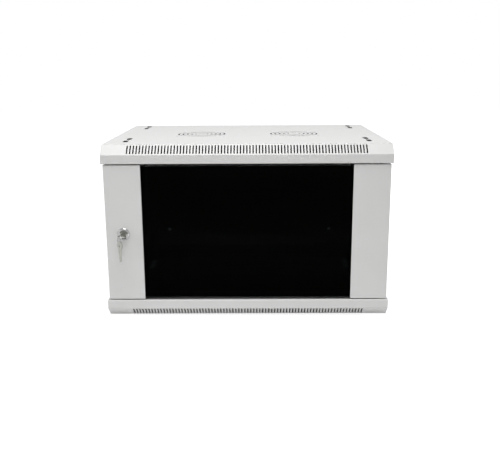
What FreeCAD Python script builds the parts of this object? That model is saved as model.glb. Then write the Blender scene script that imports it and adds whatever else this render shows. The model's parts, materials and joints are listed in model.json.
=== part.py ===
import FreeCAD, Part
import math
import os

# Wall mount network cabinet, 6U, glazed door. Millimetres, +Z up, +Y towards the wall.
# The origin is the centre of the wall-hole rectangle, in the rear plane at mid-height.

V = FreeCAD.Vector
X_DIR = V(1, 0, 0)
Y_DIR = V(0, 1, 0)
Z_DIR = V(0, 0, 1)
ORIGIN = V(0, 0, 0)

# ---- overall ----
WIDTH = 600.0
DEPTH = 450.0
HEIGHT = 370.0
RUN_GAP = 0.3            # between pieces that move past each other
PIN_CLEAR = 0.08         # radial, a turning or sliding pin in its hole
FASTENER_CLEAR = 0.25    # radial, a screw in a plain hole
OVERCUT = 1.0            # a cutter's run past the face it opens

# ---- top and bottom covers: folded trays ----
COVER_SHEET = 1.2
BEVEL_RUN = 20.0         # 45 degree bevel along the front, both ways
FACE_HEIGHT = 18.5       # upright front face below the bevel
FRONT_LIP = 48.0
SIDE_LIP = 14.0
REAR_LIP = 18.0
LIP_HEM = 10.0           # return at the back edge of the front lip
BEND_RADIUS = 1.8
VENT_SPAN = 492.0        # first vent's centre to last
VENT_PITCH = 6.47
VENT_WIDTH = 2.8
VENT_MARGIN = 3.2        # vent's end to the bend of the bevel
CORNER_SLOT_WIDTH = 11.0
CORNER_SLOT_LENGTH = 36.0
CORNER_SLOT_INSET = 40.0     # cover's side to the slots' centre line
CORNER_SLOT_PITCH = 46.0
CORNER_SLOT_FRONT = 77.0     # cover's front to the first slot's centre
CORNER_SLOT_REAR = 33.0      # cover's rear to the last slot's centre
FAN_X = 108.0
FAN_SCREW_SPACING = 105.0    # 120 mm fan
FAN_SCREW_RADIUS = 2.25
GRILLE_FIRST_RADIUS = 14.0
GRILLE_RING_PITCH = 10.0
GRILLE_RINGS = 5
GRILLE_SLOT_WIDTH = 3.6
GRILLE_SPOKE = 8.0

# ---- cable entries ----
FLOOR_ENTRY_WIDTH = 260.0
FLOOR_ENTRY_DEPTH = 60.0
FLOOR_ENTRY_REAR = 52.0      # cover's rear to the cut-out
ENTRY_PLATE_LAP = 11.0
ENTRY_PLATE_SHEET = 1.2
REAR_ENTRY_WIDTH = 240.0
REAR_ENTRY_HEIGHT = 46.0
REAR_ENTRY_TOP = 24.0        # rear panel's top to the cut-out

# ---- rear panel ----
REAR_SHEET = 1.2
REAR_FLANGE = 18.0
WALL_HOLE_SPACING_X = 440.0
WALL_HOLE_SPACING_Z = 200.0
WALL_HOLE_RADIUS = 4.5

# ---- side panels, which tilt out on two tongues ----
PANEL_SHEET = 1.0
PANEL_RECESS = 1.5           # below the covers' sides
PANEL_FLANGE = 13.0
PANEL_FOOT_GAP = 2.5
PANEL_TONGUE = 40.0
PANEL_TONGUE_DROP = 8.0      # below the panel's foot
PANEL_TONGUE_INSET = 4.0     # panel's outer face to the tongue
PANEL_TONGUE_SPACING = 260.0
TONGUE_PLAY = 2.0

# ---- side latches ----
LATCH_DROP = 14.5            # panel's top edge to the latch's axis
LATCH_HEAD_RADIUS = 11.0
LATCH_HEAD = 1.2
LATCH_SHAFT_RADIUS = 6.0
LATCH_HOUSING_RADIUS = 9.0
LATCH_CAM_SHEET = 2.0
LATCH_CAM_REACH = 20.5
LATCH_CAM_WIDTH = 12.0
LATCH_SCREW_RADIUS = 5.0
LATCH_COIN_SLOT = 2.4
LATCH_COIN_DEPTH = 0.75
LATCH_SCREW_SHANK = 7.0      # past the cam
LATCH_BORE = 8.0

# ---- door ----
DOOR_GAP = 2.5               # door to the covers
DOOR_SIDE_GAP = 3.7          # door's edge inside the covers' sides
DOOR_RECESS = 2.0            # behind the covers' front faces
DOOR_THICK = 22.0
DOOR_SHEET = 1.2
DOOR_FLANGE = 20.0           # return at the back of each stile
STILE_WIDTH = 77.0
STILE_HEM = 7.0
HEM_BEND = 1.8              # outside radius of the hem's fold, and of the stile's front edge at it
GLASS_THICK = 4.0
GLASS_LAP = 20.7             # glass behind each stile
GLASS_INSET = 3.0            # door's top and bottom to the glass
GLASS_ARRIS = 0.6
TAPE_WIDTH = 12.0
CLAMP_SHEET = 1.5
CLAMP_HEIGHT = 20.0
CLAMP_INSET = 43.0           # glass's top and bottom to the clamps
CLAMP_OVERLAP = 10.0
CLAMP_FOOT = 13.0
CLAMP_TO_GLASS_EDGE = 3.0
CLAMP_PAD = 1.5
CLAMP_PAD_MARGIN = 1.0       # clamp's edge to its pad's
CLAMP_NUT_FLATS = 7.0
CLAMP_NUT_THICK = 3.2
STUD_RADIUS = 2.0
STUD_LENGTH = 8.0
STUD_ROOT = 0.5              # sunk into the stile's sheet

# ---- hinges ----
HINGE_INSET = 9.3            # door's edge to the hinge axis
HINGE_PIN_RADIUS = 3.0
HINGE_PIN_LENGTH = 58.0
HINGE_PIN_STANDS = 5.0       # above the door's top edge
HINGE_LOWER_PIN = 16.0
HINGE_LEVER = 22.0
HINGE_EAR_DROP = 42.0        # door's top to the spring's lower ear
HINGE_EAR_SHEET = 1.5
HINGE_EAR_WIDTH = 14.0
SPRING_RADIUS = 5.0
SPRING_WIRE = 1.0
SPRING_TURNS = 6
SPRING_LENGTH = 26.0
CLIP_THICK = 1.2
CLIP_RADIUS = 5.6
CLIP_GROOVE = 0.6
CLIP_GAP = 3.0
HINGE_HEAD = 2.0
BUSH_WALL = 1.2
BUSH_FLANGE = 2.0
BUSH_HEAD = 0.8
WASHER_RADIUS = 6.5
SWING_CLEAR = 1.1            # the door's corner past the posts

# ---- front posts ----
POST_SHEET = 1.5
POST_FACE = 15.0
POST_DEEP = 21.0
POST_BACK = 27.0
POST_TO_PANEL = 0.5
POST_SCREW_X = 8.0           # post's outer face to its end screw
BUMPER_RADIUS = 3.5
BUMPER_END = 34.0            # door's edge to the bumper
BUMPER_INSET = 4.5           # post's outer face to the bumper

# ---- 19 inch rails and their depth brackets ----
RACK_UNIT_HEIGHT = 44.45
RACK_HOLE_OFFSETS = (6.35, 22.225, 38.1)
RACK_HOLE = 9.5
RACK_HOLE_INSET = 7.55       # opening's edge to the square holes' middle
RAIL_TO_SIDE = 75.0          # cover's side to the rack opening
RAIL_SHEET = 2.0
RAIL_FACE = 25.0
RAIL_DEEP = 40.0
RAIL_RETURN = 14.0
RAIL_END_GAP = 3.5           # rail's end to the covers' lips
RAIL_SETBACK = 95.0          # cover's front to the rail's front
BRACKET_SHEET = 1.5
BRACKET_HEIGHT = 30.0
BRACKET_FLANGE = 12.0
BRACKET_INSET = 30.5         # covers' lips to the brackets' middles
BRACKET_SLOT = 6.6
BRACKET_SLOT_END = 22.0      # bracket's end to its slot
RAIL_SCREW_RADIUS = 3.0
RAIL_SCREW_SETBACK = 20.0    # rail's front to its screws
RAIL_NUT_FLATS = 10.0
RAIL_NUT_THICK = 4.5
RAIL_SCREW_HEAD_RADIUS = 5.2
RAIL_SCREW_HEAD = 3.4
RAIL_SCREW_BEYOND = 1.0      # point past its nut

# ---- lock, keys and ring ----
LOCK_INSET = 37.1            # door's edge to the lock's axis
LOCK_Z = -1.0
LOCK_COLLAR_RADIUS = 12.5
LOCK_COLLAR = 3.5
LOCK_BARREL_RADIUS = 9.5
LOCK_PLUG_RADIUS = 7.0
LOCK_NUT_FLATS = 24.0
LOCK_NUT_THICK = 5.0
LOCK_NUT_CLEAR = 0.02        # radial, a nut on its thread
LOCK_COLLAR_BEVEL = 1.6
LOCK_PLUG_SINK = 0.6         # collar's face to the plug's
CAM_SHEET = 2.0
CAM_WIDTH = 15.0
CAM_REACH = 23.0
CAM_TO_POST = 0.5            # behind the post's sheet
CAM_SCREW_SHANK = 3.5        # past the cam
CAM_SCREW_BORE = 4.0
CAM_SCREW_HEAD = 2.4
KEY_THICK = 2.0
KEY_BOW_RADIUS = 8.75
KEY_HOLE_RADIUS = 3.25
KEY_NECK_WIDTH = 10.0
KEY_NECK = 8.0
KEY_BLADE_WIDTH = 7.6
KEY_BLADE = 20.0
KEY_TIP = 3.0
KEY_FIRST_CUT = 2.0          # shoulder to the first cut
KEY_BOW_SINK = 1.0           # neck's start inside the bow
KEY_STANDOFF = 0.5           # shoulder to the plug's face
KEY_PLAY = 0.2               # blade in its keyway, each side
KEY_CUTS = (1.3, 2.1, 0.9, 1.7)
RING_RADIUS = 9.2            # to the middle of the wire
RING_WIRE = 1.2
RING_BREADTH = 1.8
RING_TURN = 45.0             # ring's plane from straight ahead, degrees

# ---- earth stud ----
EARTH_X = -180.0
EARTH_REAR = 80.0            # cover's rear to the stud
EARTH_RADIUS = 3.0
EARTH_LENGTH = 18.0
EARTH_NUT_FLATS = 10.0
EARTH_NUT_THICK = 5.0
EARTH_BASE_RADIUS = 6.0
EARTH_BASE = 1.5

# ---- small screws ----
SCREW_RADIUS = 2.0
SCREW_HEAD_RADIUS = 4.2
SCREW_HEAD = 2.6
SCREW_HEAD_TAPER = 0.8       # head's top over its seat
SCREW_SHORT = 0.2            # point to an outer face
SCREW_BEYOND = 4.0           # point past the last sheet

# ---- places worked out from the sizes above ----
TOP_Z = HEIGHT / 2
LIP_Z = TOP_Z - BEVEL_RUN - FACE_HEIGHT
FRONT_Y = -DEPTH
LIP_BACK_Y = FRONT_Y + FRONT_LIP
SIDE_X = WIDTH / 2
PANEL_X = SIDE_X - PANEL_RECESS
POST_X = PANEL_X - PANEL_FLANGE - POST_TO_PANEL
PANEL_TOP_Z = LIP_Z - RUN_GAP
PANEL_FOOT_Z = -LIP_Z + PANEL_FOOT_GAP
PANEL_REAR_Y = -REAR_SHEET - RUN_GAP
TONGUE_X = PANEL_X - PANEL_TONGUE_INSET
LATCH_Z = PANEL_TOP_Z - LATCH_DROP
CAM_X = SIDE_X - SIDE_LIP - PANEL_RECESS

CORNER_SLOT_X = SIDE_X - CORNER_SLOT_INSET

DOOR_X = SIDE_X - DOOR_SIDE_GAP
DOOR_Z = LIP_Z - DOOR_GAP
DOOR_FRONT_Y = FRONT_Y + DOOR_RECESS
DOOR_BACK_Y = DOOR_FRONT_Y + DOOR_THICK
DOOR_INNER_Y = DOOR_FRONT_Y + DOOR_SHEET
STILE_X = DOOR_X - STILE_WIDTH
GLASS_Z = DOOR_Z - GLASS_INSET
GLASS_FRONT_Y = DOOR_INNER_Y + DOOR_SHEET
GLASS_BACK_Y = GLASS_FRONT_Y + GLASS_THICK
GLASS_X = STILE_X + GLASS_LAP
CLAMP_X = GLASS_X + CLAMP_TO_GLASS_EDGE
CLAMP_Z = GLASS_Z - CLAMP_INSET
STUD_X = CLAMP_X + CLAMP_FOOT / 2
BUMPER_Z = DOOR_Z - BUMPER_END

HINGE_X = DOOR_X - HINGE_INSET
HINGE_Y = DOOR_FRONT_Y + DOOR_THICK / 2
HINGE_SWEEP = math.hypot(HINGE_INSET, DOOR_THICK / 2)
POST_Y = HINGE_Y + HINGE_SWEEP + SWING_CLEAR
POST_BACK_Y = POST_Y + POST_DEEP
POST_SCREW_Y = (POST_Y + LIP_BACK_Y) / 2
PIN_TOP_Z = DOOR_Z + HINGE_PIN_STANDS
EAR_Z = DOOR_Z - HINGE_EAR_DROP
BUSH_RADIUS = HINGE_PIN_RADIUS + PIN_CLEAR + BUSH_WALL
CLIP_Z = EAR_Z + HINGE_EAR_SHEET + SPRING_LENGTH

RACK_OPENING = WIDTH - 2 * RAIL_TO_SIDE
RACK_HOLE_SPACING = RACK_OPENING + 2 * RACK_HOLE_INSET
RAIL_HEIGHT = 2 * (LIP_Z - RAIL_END_GAP)
RACK_UNITS = int(RAIL_HEIGHT // RACK_UNIT_HEIGHT)
BRACKET_Z = LIP_Z - BRACKET_INSET
RAIL_X = RACK_OPENING / 2
RAIL_WEB_X = RAIL_X + RAIL_FACE
RAIL_Y = FRONT_Y + RAIL_SETBACK
BRACKET_X = RAIL_WEB_X + RUN_GAP
RAIL_SCREW_Y = RAIL_Y + RAIL_SCREW_SETBACK

LOCK_X = -DOOR_X + LOCK_INSET
LOCK_FACE_Y = DOOR_FRONT_Y - LOCK_COLLAR
CAM_Y = POST_Y + POST_SHEET + CAM_TO_POST
LOCK_BACK_Y = CAM_Y - RUN_GAP
KEY_SHOULDER_Y = LOCK_FACE_Y - KEY_STANDOFF
KEY_BOW_Y = KEY_SHOULDER_Y - KEY_NECK - KEY_BOW_RADIUS + KEY_BOW_SINK

# The inserted key lies flat. The ring hangs on the web between its hole and its rim,
# and the spare key hangs on the ring, square to it.
RING_AHEAD = (KEY_HOLE_RADIUS + KEY_BOW_RADIUS) / 2
RING_COS = math.cos(math.radians(RING_TURN))
RING_SIN = math.sin(math.radians(RING_TURN))
RING_X = LOCK_X - RING_AHEAD * RING_SIN
RING_Y = KEY_BOW_Y - RING_AHEAD * RING_COS
RING_INNER = RING_RADIUS - RING_WIRE / 2
KEY_WEB = KEY_BOW_RADIUS - KEY_HOLE_RADIUS
RING_Z = LOCK_Z + KEY_THICK / 2 + RUN_GAP - math.sqrt(RING_INNER ** 2 - (KEY_WEB / 2) ** 2)
RING_EDGE_LIFT = RING_INNER - math.sqrt(RING_INNER ** 2 - (KEY_THICK / 2) ** 2)
HOLE_EDGE_DROP = KEY_HOLE_RADIUS - math.sqrt(KEY_HOLE_RADIUS ** 2 - (RING_BREADTH / 2) ** 2)
SPARE_Z = RING_Z - RING_INNER + RING_EDGE_LIFT + HOLE_EDGE_DROP + RUN_GAP - KEY_HOLE_RADIUS


# ---- helpers ----
def box(x0, x1, y0, y1, z0, z1):
    """Box between two corners given in either order."""
    low = V(min(x0, x1), min(y0, y1), min(z0, z1))
    return Part.makeBox(abs(x1 - x0), abs(y1 - y0), abs(z1 - z0), low)


def rod(radius, start, end):
    """Round bar from start to end."""
    run = end.sub(start)
    return Part.makeCylinder(radius, run.Length, start, run)


def ring_points(sides, reach, middle, run):
    """Corners of a regular polygon square to run."""
    side = run.cross(Z_DIR) if run.cross(Z_DIR).Length > 0 else X_DIR
    turn = FreeCAD.Rotation(run, 360.0 / sides)
    points = [V(side).normalize().multiply(reach)]
    for _ in range(sides - 1):
        points.append(turn.multVec(points[-1]))
    return [middle.add(p) for p in points]


def bar(sides, radius, start, end):
    """Regular prism with its corners at the radius: a round bar in flats, for small pieces."""
    run = end.sub(start)
    points = ring_points(sides, radius, start, run)
    return Part.Face(Part.makePolygon(points + [points[0]])).extrude(run)


def flat_bar(sides, radius, start, end):
    """Regular prism with its flats at the radius, so that a bar of that radius goes through it."""
    return bar(sides, radius / math.cos(math.pi / sides), start, end)


def screw_hole(start, end, radius=SCREW_RADIUS + FASTENER_CLEAR):
    """Cutter for a screw's plain hole."""
    return flat_bar(8, radius, start, end)


def nut(flats, bore, start, end):
    return flat_bar(6, flats / 2, start, end).cut(flat_bar(8, bore, start, end))


def frustum(sides, wide, narrow, start, end):
    """Tapered regular prism made of flat faces."""
    run = end.sub(start)
    low = ring_points(sides, wide, start, run)
    high = ring_points(sides, narrow, end, run)
    faces = [Part.Face(Part.makePolygon(low + [low[0]])), Part.Face(Part.makePolygon(high + [high[0]]))]
    for i in range(sides):
        j = (i + 1) % sides
        faces.append(Part.Face(Part.makePolygon([low[i], low[j], high[j], high[i], low[i]])))
    shell = Part.Shell(faces)
    solid = Part.Solid(shell)
    if solid.Volume < 0:
        solid.reverse()
    return solid


def screw(seat, way, shank, radius=SCREW_RADIUS, head_radius=SCREW_HEAD_RADIUS, head=SCREW_HEAD):
    """Pan-head screw: its head stands on seat, its shank runs the given way."""
    way = V(way).normalize()
    body = bar(8, radius, seat, seat.add(V(way).multiply(shank)))
    top = seat.sub(V(way).multiply(head))
    return body.fuse(frustum(8, head_radius, head_radius * SCREW_HEAD_TAPER, seat, top))


def profile(points, radii, normal, length):
    """Prism on a polygon whose corners may be rounded; radii follow the points, 0 is sharp."""
    count = len(points)
    edges = []
    ends = []
    for i, corner in enumerate(points):
        radius = radii[i] if i < len(radii) else 0.0
        back = points[i - 1].sub(corner)
        ahead = points[(i + 1) % count].sub(corner)
        if radius <= 0:
            ends.append((corner, corner))
            continue
        half = back.getAngle(ahead) / 2
        cut = radius / math.tan(half)
        enter = corner.add(V(back).normalize().multiply(cut))
        leave = corner.add(V(ahead).normalize().multiply(cut))
        bisector = V(back).normalize().add(V(ahead).normalize()).normalize()
        middle = corner.add(bisector.multiply(radius / math.sin(half) - radius))
        edges.append((i, Part.Arc(enter, middle, leave).toShape()))
        ends.append((enter, leave))
    arcs = dict(edges)
    loop = []
    for i in range(count):
        if i in arcs:
            loop.append(arcs[i])
        loop.append(Part.makeLine(ends[i][1], ends[(i + 1) % count][0]))
    face = Part.Face(Part.Wire(loop))
    return face.extrude(V(normal).normalize().multiply(length))


def slot(width, length, centre, along, through):
    """Cutter with rounded ends, each in six straight runs, centred and running along a direction."""
    along = V(along).normalize()
    side = V(through).normalize().cross(along)
    radius = width / 2
    base = centre.sub(V(through).multiply(0.5))
    points = []
    for way in (1, -1):
        middle = base.add(V(along).multiply(way * (length / 2 - radius)))
        for i in range(7):
            turn = math.pi * i / 6
            across = V(side).multiply(way * radius * math.cos(turn))
            ahead = V(along).multiply(way * radius * math.sin(turn))
            points.append(middle.add(across).add(ahead))
    return Part.Face(Part.makePolygon(points + [points[0]])).extrude(through)


def arc_slot(centre, radius, width, spoke, start, runs, drop):
    """Cutter along a quarter ring in straight runs; its ends lie along the spokes beside it."""
    points = []
    for edge in (radius + width / 2, radius - width / 2):
        gap = math.asin(spoke / 2 / edge)
        turns = [start + gap + (math.pi / 2 - 2 * gap) * i / runs for i in range(runs + 1)]
        if edge < radius:
            turns.reverse()
        points += [centre.add(V(edge * math.cos(t), edge * math.sin(t), 0)) for t in turns]
    return Part.Face(Part.makePolygon(points + [points[0]])).extrude(drop)


def mirrored(shape, normal=X_DIR):
    return shape.mirror(ORIGIN, normal)


def save(name, shape):
    """Write a solid, or a list of separate solids, as one named piece."""
    if isinstance(shape, (list, tuple)):
        shape = Part.makeCompound(shape)
    shape.exportStep("parts/" + name + ".step")


def save_pair(name, right):
    """Write the right-hand piece and its mirror image on the left."""
    pieces = right if isinstance(right, (list, tuple)) else [right]
    save(name + "_right", right)
    save(name + "_left", [mirrored(p) for p in pieces] if len(pieces) > 1 else mirrored(pieces[0]))


# ---- covers ----
def cover_section(x0, x1, inset):
    """The tray's side outline as a prism, moved in by inset on every side."""
    slack = inset * (math.sqrt(2) - 1)
    points = [
        V(x0, -inset, TOP_Z - inset),
        V(x0, FRONT_Y + BEVEL_RUN + slack, TOP_Z - inset),
        V(x0, FRONT_Y + inset, TOP_Z - BEVEL_RUN - slack),
        V(x0, FRONT_Y + inset, LIP_Z + inset),
        V(x0, -inset, LIP_Z + inset),
    ]
    bend = max(BEND_RADIUS - inset, 0.2)
    return profile(points, [0, bend, bend, bend, 0], X_DIR, x1 - x0)


def vents():
    """Row of slots through the bevel."""
    count = int(round(VENT_SPAN / VENT_PITCH)) + 1
    length = BEVEL_RUN * math.sqrt(2) - 2 * VENT_MARGIN
    middle = V(0, FRONT_Y + BEVEL_RUN / 2, TOP_Z - BEVEL_RUN / 2)
    cutters = []
    for i in range(count):
        x = (i - (count - 1) / 2) * VENT_PITCH
        cutter = box(x - VENT_WIDTH / 2, x + VENT_WIDTH / 2, -length / 2, length / 2,
                     -BEVEL_RUN / 4, BEVEL_RUN / 4)
        cutter.rotate(ORIGIN, X_DIR, 45)
        cutter.translate(middle)
        cutters.append(cutter)
    return cutters


def corner_slots():
    """Pairs of long slots in line at the four corners."""
    front = FRONT_Y + CORNER_SLOT_FRONT
    rear = -CORNER_SLOT_REAR
    rows = (front, front + CORNER_SLOT_PITCH, rear - CORNER_SLOT_PITCH, rear)
    drop = Z_DIR * (COVER_SHEET * 4)
    return [slot(CORNER_SLOT_WIDTH, CORNER_SLOT_LENGTH, V(x, y, TOP_Z), Y_DIR, drop)
            for x in (-CORNER_SLOT_X, CORNER_SLOT_X) for y in rows]


def fan_grille(x):
    """Rings of arc slots between four spokes, and the four screw holes of one fan place."""
    low = V(x, -DEPTH / 2, TOP_Z - COVER_SHEET * 2)
    rise = V(0, 0, COVER_SHEET * 4)
    cutters = []
    for i in range(GRILLE_RINGS):
        for quarter in range(4):
            start = math.pi / 4 + quarter * math.pi / 2
            cutters.append(arc_slot(low, GRILLE_FIRST_RADIUS + i * GRILLE_RING_PITCH, GRILLE_SLOT_WIDTH,
                                    GRILLE_SPOKE, start, 3 + i, rise))
    half = FAN_SCREW_SPACING / 2
    for sx in (-half, half):
        for sy in (-half, half):
            step = V(sx, sy, 0)
            cutters.append(rod(FAN_SCREW_RADIUS, low.add(step), low.add(step).add(rise)))
    return cutters


def rear_screw_places():
    reach = WIDTH / 2 - SIDE_LIP * 3
    return [V(x, -(REAR_SHEET + REAR_LIP) / 2, LIP_Z) for x in (-reach, 0, reach)]


def post_screw_places():
    return [V(s * (POST_X - POST_SCREW_X), POST_SCREW_Y, LIP_Z) for s in (-1, 1)]


def cover_tray():
    """Folded tray of the top cover, with what both covers share."""
    tray = cover_section(-SIDE_X, SIDE_X, 0)
    tray = tray.cut(cover_section(-SIDE_X + COVER_SHEET, SIDE_X - COVER_SHEET, COVER_SHEET))
    inner_x = SIDE_X - SIDE_LIP
    tray = tray.cut(box(-inner_x, inner_x, LIP_BACK_Y, -REAR_LIP,
                        LIP_Z - OVERCUT, LIP_Z + COVER_SHEET + OVERCUT))
    hem = box(-inner_x, inner_x, LIP_BACK_Y - COVER_SHEET, LIP_BACK_Y, LIP_Z, LIP_Z + LIP_HEM)
    tray = tray.fuse(hem).removeSplitter()
    cutters = vents() + corner_slots()
    up = V(0, 0, COVER_SHEET * 2)
    for place in rear_screw_places() + post_screw_places():
        cutters.append(screw_hole(place.sub(up), place.add(up)))
    for s in (-1, 1):
        place = V(s * HINGE_X, HINGE_Y, LIP_Z)
        cutters.append(bar(16, BUSH_RADIUS, place.sub(up), place.add(up)))
    return tray.cut(cutters)


def top_cover():
    return cover_tray().cut(fan_grille(-FAN_X) + fan_grille(FAN_X))


def tongue_slots():
    """Slots in the bottom cover's side lips for the side panels' tongues."""
    cutters = []
    middle = (POST_Y + PANEL_REAR_Y) / 2
    half = PANEL_TONGUE / 2 + RUN_GAP
    for s in (-1, 1):
        for y in (middle - PANEL_TONGUE_SPACING / 2, middle + PANEL_TONGUE_SPACING / 2):
            cutters.append(box(s * (TONGUE_X + TONGUE_PLAY), s * (TONGUE_X - PANEL_SHEET - TONGUE_PLAY),
                               y - half, y + half, -LIP_Z + OVERCUT, -LIP_Z - COVER_SHEET - OVERCUT))
    return cutters


def floor_entry_screws():
    """Places of the entry plate's screws, on the bottom cover's inner face."""
    x = FLOOR_ENTRY_WIDTH / 2 + ENTRY_PLATE_LAP / 2
    near = -FLOOR_ENTRY_REAR + ENTRY_PLATE_LAP / 2
    far = -FLOOR_ENTRY_REAR - FLOOR_ENTRY_DEPTH - ENTRY_PLATE_LAP / 2
    return [V(sx, y, -TOP_Z + COVER_SHEET) for sx in (-x, x) for y in (far, near)]


def bottom_cover():
    tray = mirrored(cover_tray(), Z_DIR)
    half = FLOOR_ENTRY_WIDTH / 2
    back = -FLOOR_ENTRY_REAR
    cutters = tongue_slots()
    cutters.append(box(-half, half, back - FLOOR_ENTRY_DEPTH, back,
                       -TOP_Z - OVERCUT, -TOP_Z + COVER_SHEET + OVERCUT))
    for place in floor_entry_screws():
        cutters.append(screw_hole(place.sub(V(0, 0, COVER_SHEET * 2)), place))
    return tray.cut(cutters)


def floor_entry_plate():
    """Plate that closes the bottom cover's cable entry from inside."""
    half = FLOOR_ENTRY_WIDTH / 2 + ENTRY_PLATE_LAP
    back = -FLOOR_ENTRY_REAR + ENTRY_PLATE_LAP
    front = -FLOOR_ENTRY_REAR - FLOOR_ENTRY_DEPTH - ENTRY_PLATE_LAP
    low = -TOP_Z + COVER_SHEET
    plate = box(-half, half, front, back, low, low + ENTRY_PLATE_SHEET)
    holes = [screw_hole(p, p.add(V(0, 0, ENTRY_PLATE_SHEET))) for p in floor_entry_screws()]
    return plate.cut(holes)


def entry_screws():
    """Screws of both entry plates, their points short of the outer faces."""
    floor_shank = ENTRY_PLATE_SHEET + COVER_SHEET - SCREW_SHORT
    rear_shank = ENTRY_PLATE_SHEET + REAR_SHEET - SCREW_SHORT
    rise = Z_DIR * ENTRY_PLATE_SHEET
    ahead = Y_DIR * ENTRY_PLATE_SHEET
    floor = [screw(p.add(rise), Z_DIR.negative(), floor_shank) for p in floor_entry_screws()]
    return floor + [screw(p.sub(ahead), Y_DIR, rear_shank) for p in rear_entry_screws()]


# ---- rear panel ----
def rear_entry_box(grow, y0, y1):
    """The rear cut-out's outline, grown by a margin, between two depths."""
    top = LIP_Z - REAR_ENTRY_TOP
    half = REAR_ENTRY_WIDTH / 2 + grow
    return box(-half, half, y0, y1, top - REAR_ENTRY_HEIGHT - grow, top + grow)


def rear_entry_screws():
    """Places of the rear plate's screws, on the back sheet's inner face."""
    x = REAR_ENTRY_WIDTH / 2 + ENTRY_PLATE_LAP / 2
    top = LIP_Z - REAR_ENTRY_TOP + ENTRY_PLATE_LAP / 2
    low = LIP_Z - REAR_ENTRY_TOP - REAR_ENTRY_HEIGHT - ENTRY_PLATE_LAP / 2
    return [V(sx, -REAR_SHEET, z) for sx in (-x, x) for z in (low, top)]


def rear_panel():
    """Back sheet with a flange on each side that the covers and brackets seat on."""
    sheet = box(-PANEL_X, PANEL_X, -REAR_SHEET, 0, -LIP_Z, LIP_Z)
    inner = POST_X - REAR_SHEET
    panel = sheet
    for s in (-1, 1):
        panel = panel.fuse(box(s * inner, s * POST_X, -REAR_FLANGE, 0, -LIP_Z, LIP_Z))
        panel = panel.fuse(box(-inner, inner, -REAR_FLANGE, 0, s * LIP_Z, s * (LIP_Z - REAR_SHEET)))
    panel = panel.removeSplitter()
    cutters = [rear_entry_box(0, -REAR_SHEET * 2, REAR_SHEET)]
    cutters += [screw_hole(p, p.add(Y_DIR * (REAR_SHEET * 2))) for p in rear_entry_screws()]
    for sx in (-0.5, 0.5):
        for sz in (-0.5, 0.5):
            place = V(sx * WALL_HOLE_SPACING_X, 0, sz * WALL_HOLE_SPACING_Z)
            cutters.append(rod(WALL_HOLE_RADIUS, place.sub(Y_DIR * (REAR_SHEET * 2)),
                               place.add(Y_DIR * OVERCUT)))
    up = V(0, 0, REAR_SHEET * 2)
    for place in rear_screw_places():
        for p in (place, V(place.x, place.y, -place.z)):
            cutters.append(screw_hole(p.sub(up), p.add(up)))
    for s in (-1, 1):
        for z in (-BRACKET_Z, BRACKET_Z):
            p = V(s * bracket_screw_x(), 0, z)
            cutters.append(screw_hole(p.sub(Y_DIR * (REAR_SHEET * 2)), p))
    return panel.cut(cutters)


def rear_entry_plate():
    """Plate that closes the rear cable entry from inside."""
    plate = rear_entry_box(ENTRY_PLATE_LAP, -REAR_SHEET - ENTRY_PLATE_SHEET, -REAR_SHEET)
    return plate.cut([screw_hole(p.sub(Y_DIR * ENTRY_PLATE_SHEET), p) for p in rear_entry_screws()])


# ---- front posts ----
def front_post():
    """Channel between the covers, open towards the rack, with a tab at each end."""
    back_x = POST_X - POST_BACK
    points = [
        V(POST_X - POST_FACE, POST_Y, -LIP_Z), V(POST_X, POST_Y, -LIP_Z),
        V(POST_X, POST_BACK_Y, -LIP_Z), V(back_x, POST_BACK_Y, -LIP_Z),
        V(back_x, POST_BACK_Y - POST_SHEET, -LIP_Z), V(POST_X - POST_SHEET, POST_BACK_Y - POST_SHEET, -LIP_Z),
        V(POST_X - POST_SHEET, POST_Y + POST_SHEET, -LIP_Z),
        V(POST_X - POST_FACE, POST_Y + POST_SHEET, -LIP_Z),
    ]
    post = profile(points, [0, BEND_RADIUS, BEND_RADIUS], Z_DIR, 2 * LIP_Z)
    cutters = []
    for s in (-1, 1):
        tab = box(POST_X - POST_FACE, POST_X - POST_SHEET, POST_Y + POST_SHEET, POST_BACK_Y - POST_SHEET,
                  s * LIP_Z, s * (LIP_Z - POST_SHEET))
        post = post.fuse(tab)
        place = V(POST_X - POST_SCREW_X, POST_SCREW_Y, s * LIP_Z)
        up = V(0, 0, POST_SHEET * 2)
        cutters.append(screw_hole(place.sub(up), place.add(up)))
        place = V(bracket_screw_x(), POST_BACK_Y, s * BRACKET_Z)
        cutters.append(screw_hole(place.sub(Y_DIR * (POST_SHEET * 2)), place.add(Y_DIR * OVERCUT)))
    return post.removeSplitter().cut(cutters)


def door_bumpers():
    """Rubber stops for the lock side of the door, on the left post."""
    x = -(POST_X - BUMPER_INSET)
    return [bar(16, BUMPER_RADIUS, V(x, POST_Y, z), V(x, DOOR_BACK_Y + RUN_GAP, z))
            for z in (-BUMPER_Z, BUMPER_Z)]


# ---- depth brackets and rails ----
def bracket_screw_x():
    return BRACKET_X + BRACKET_FLANGE / 2 + BRACKET_SHEET / 2


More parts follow.
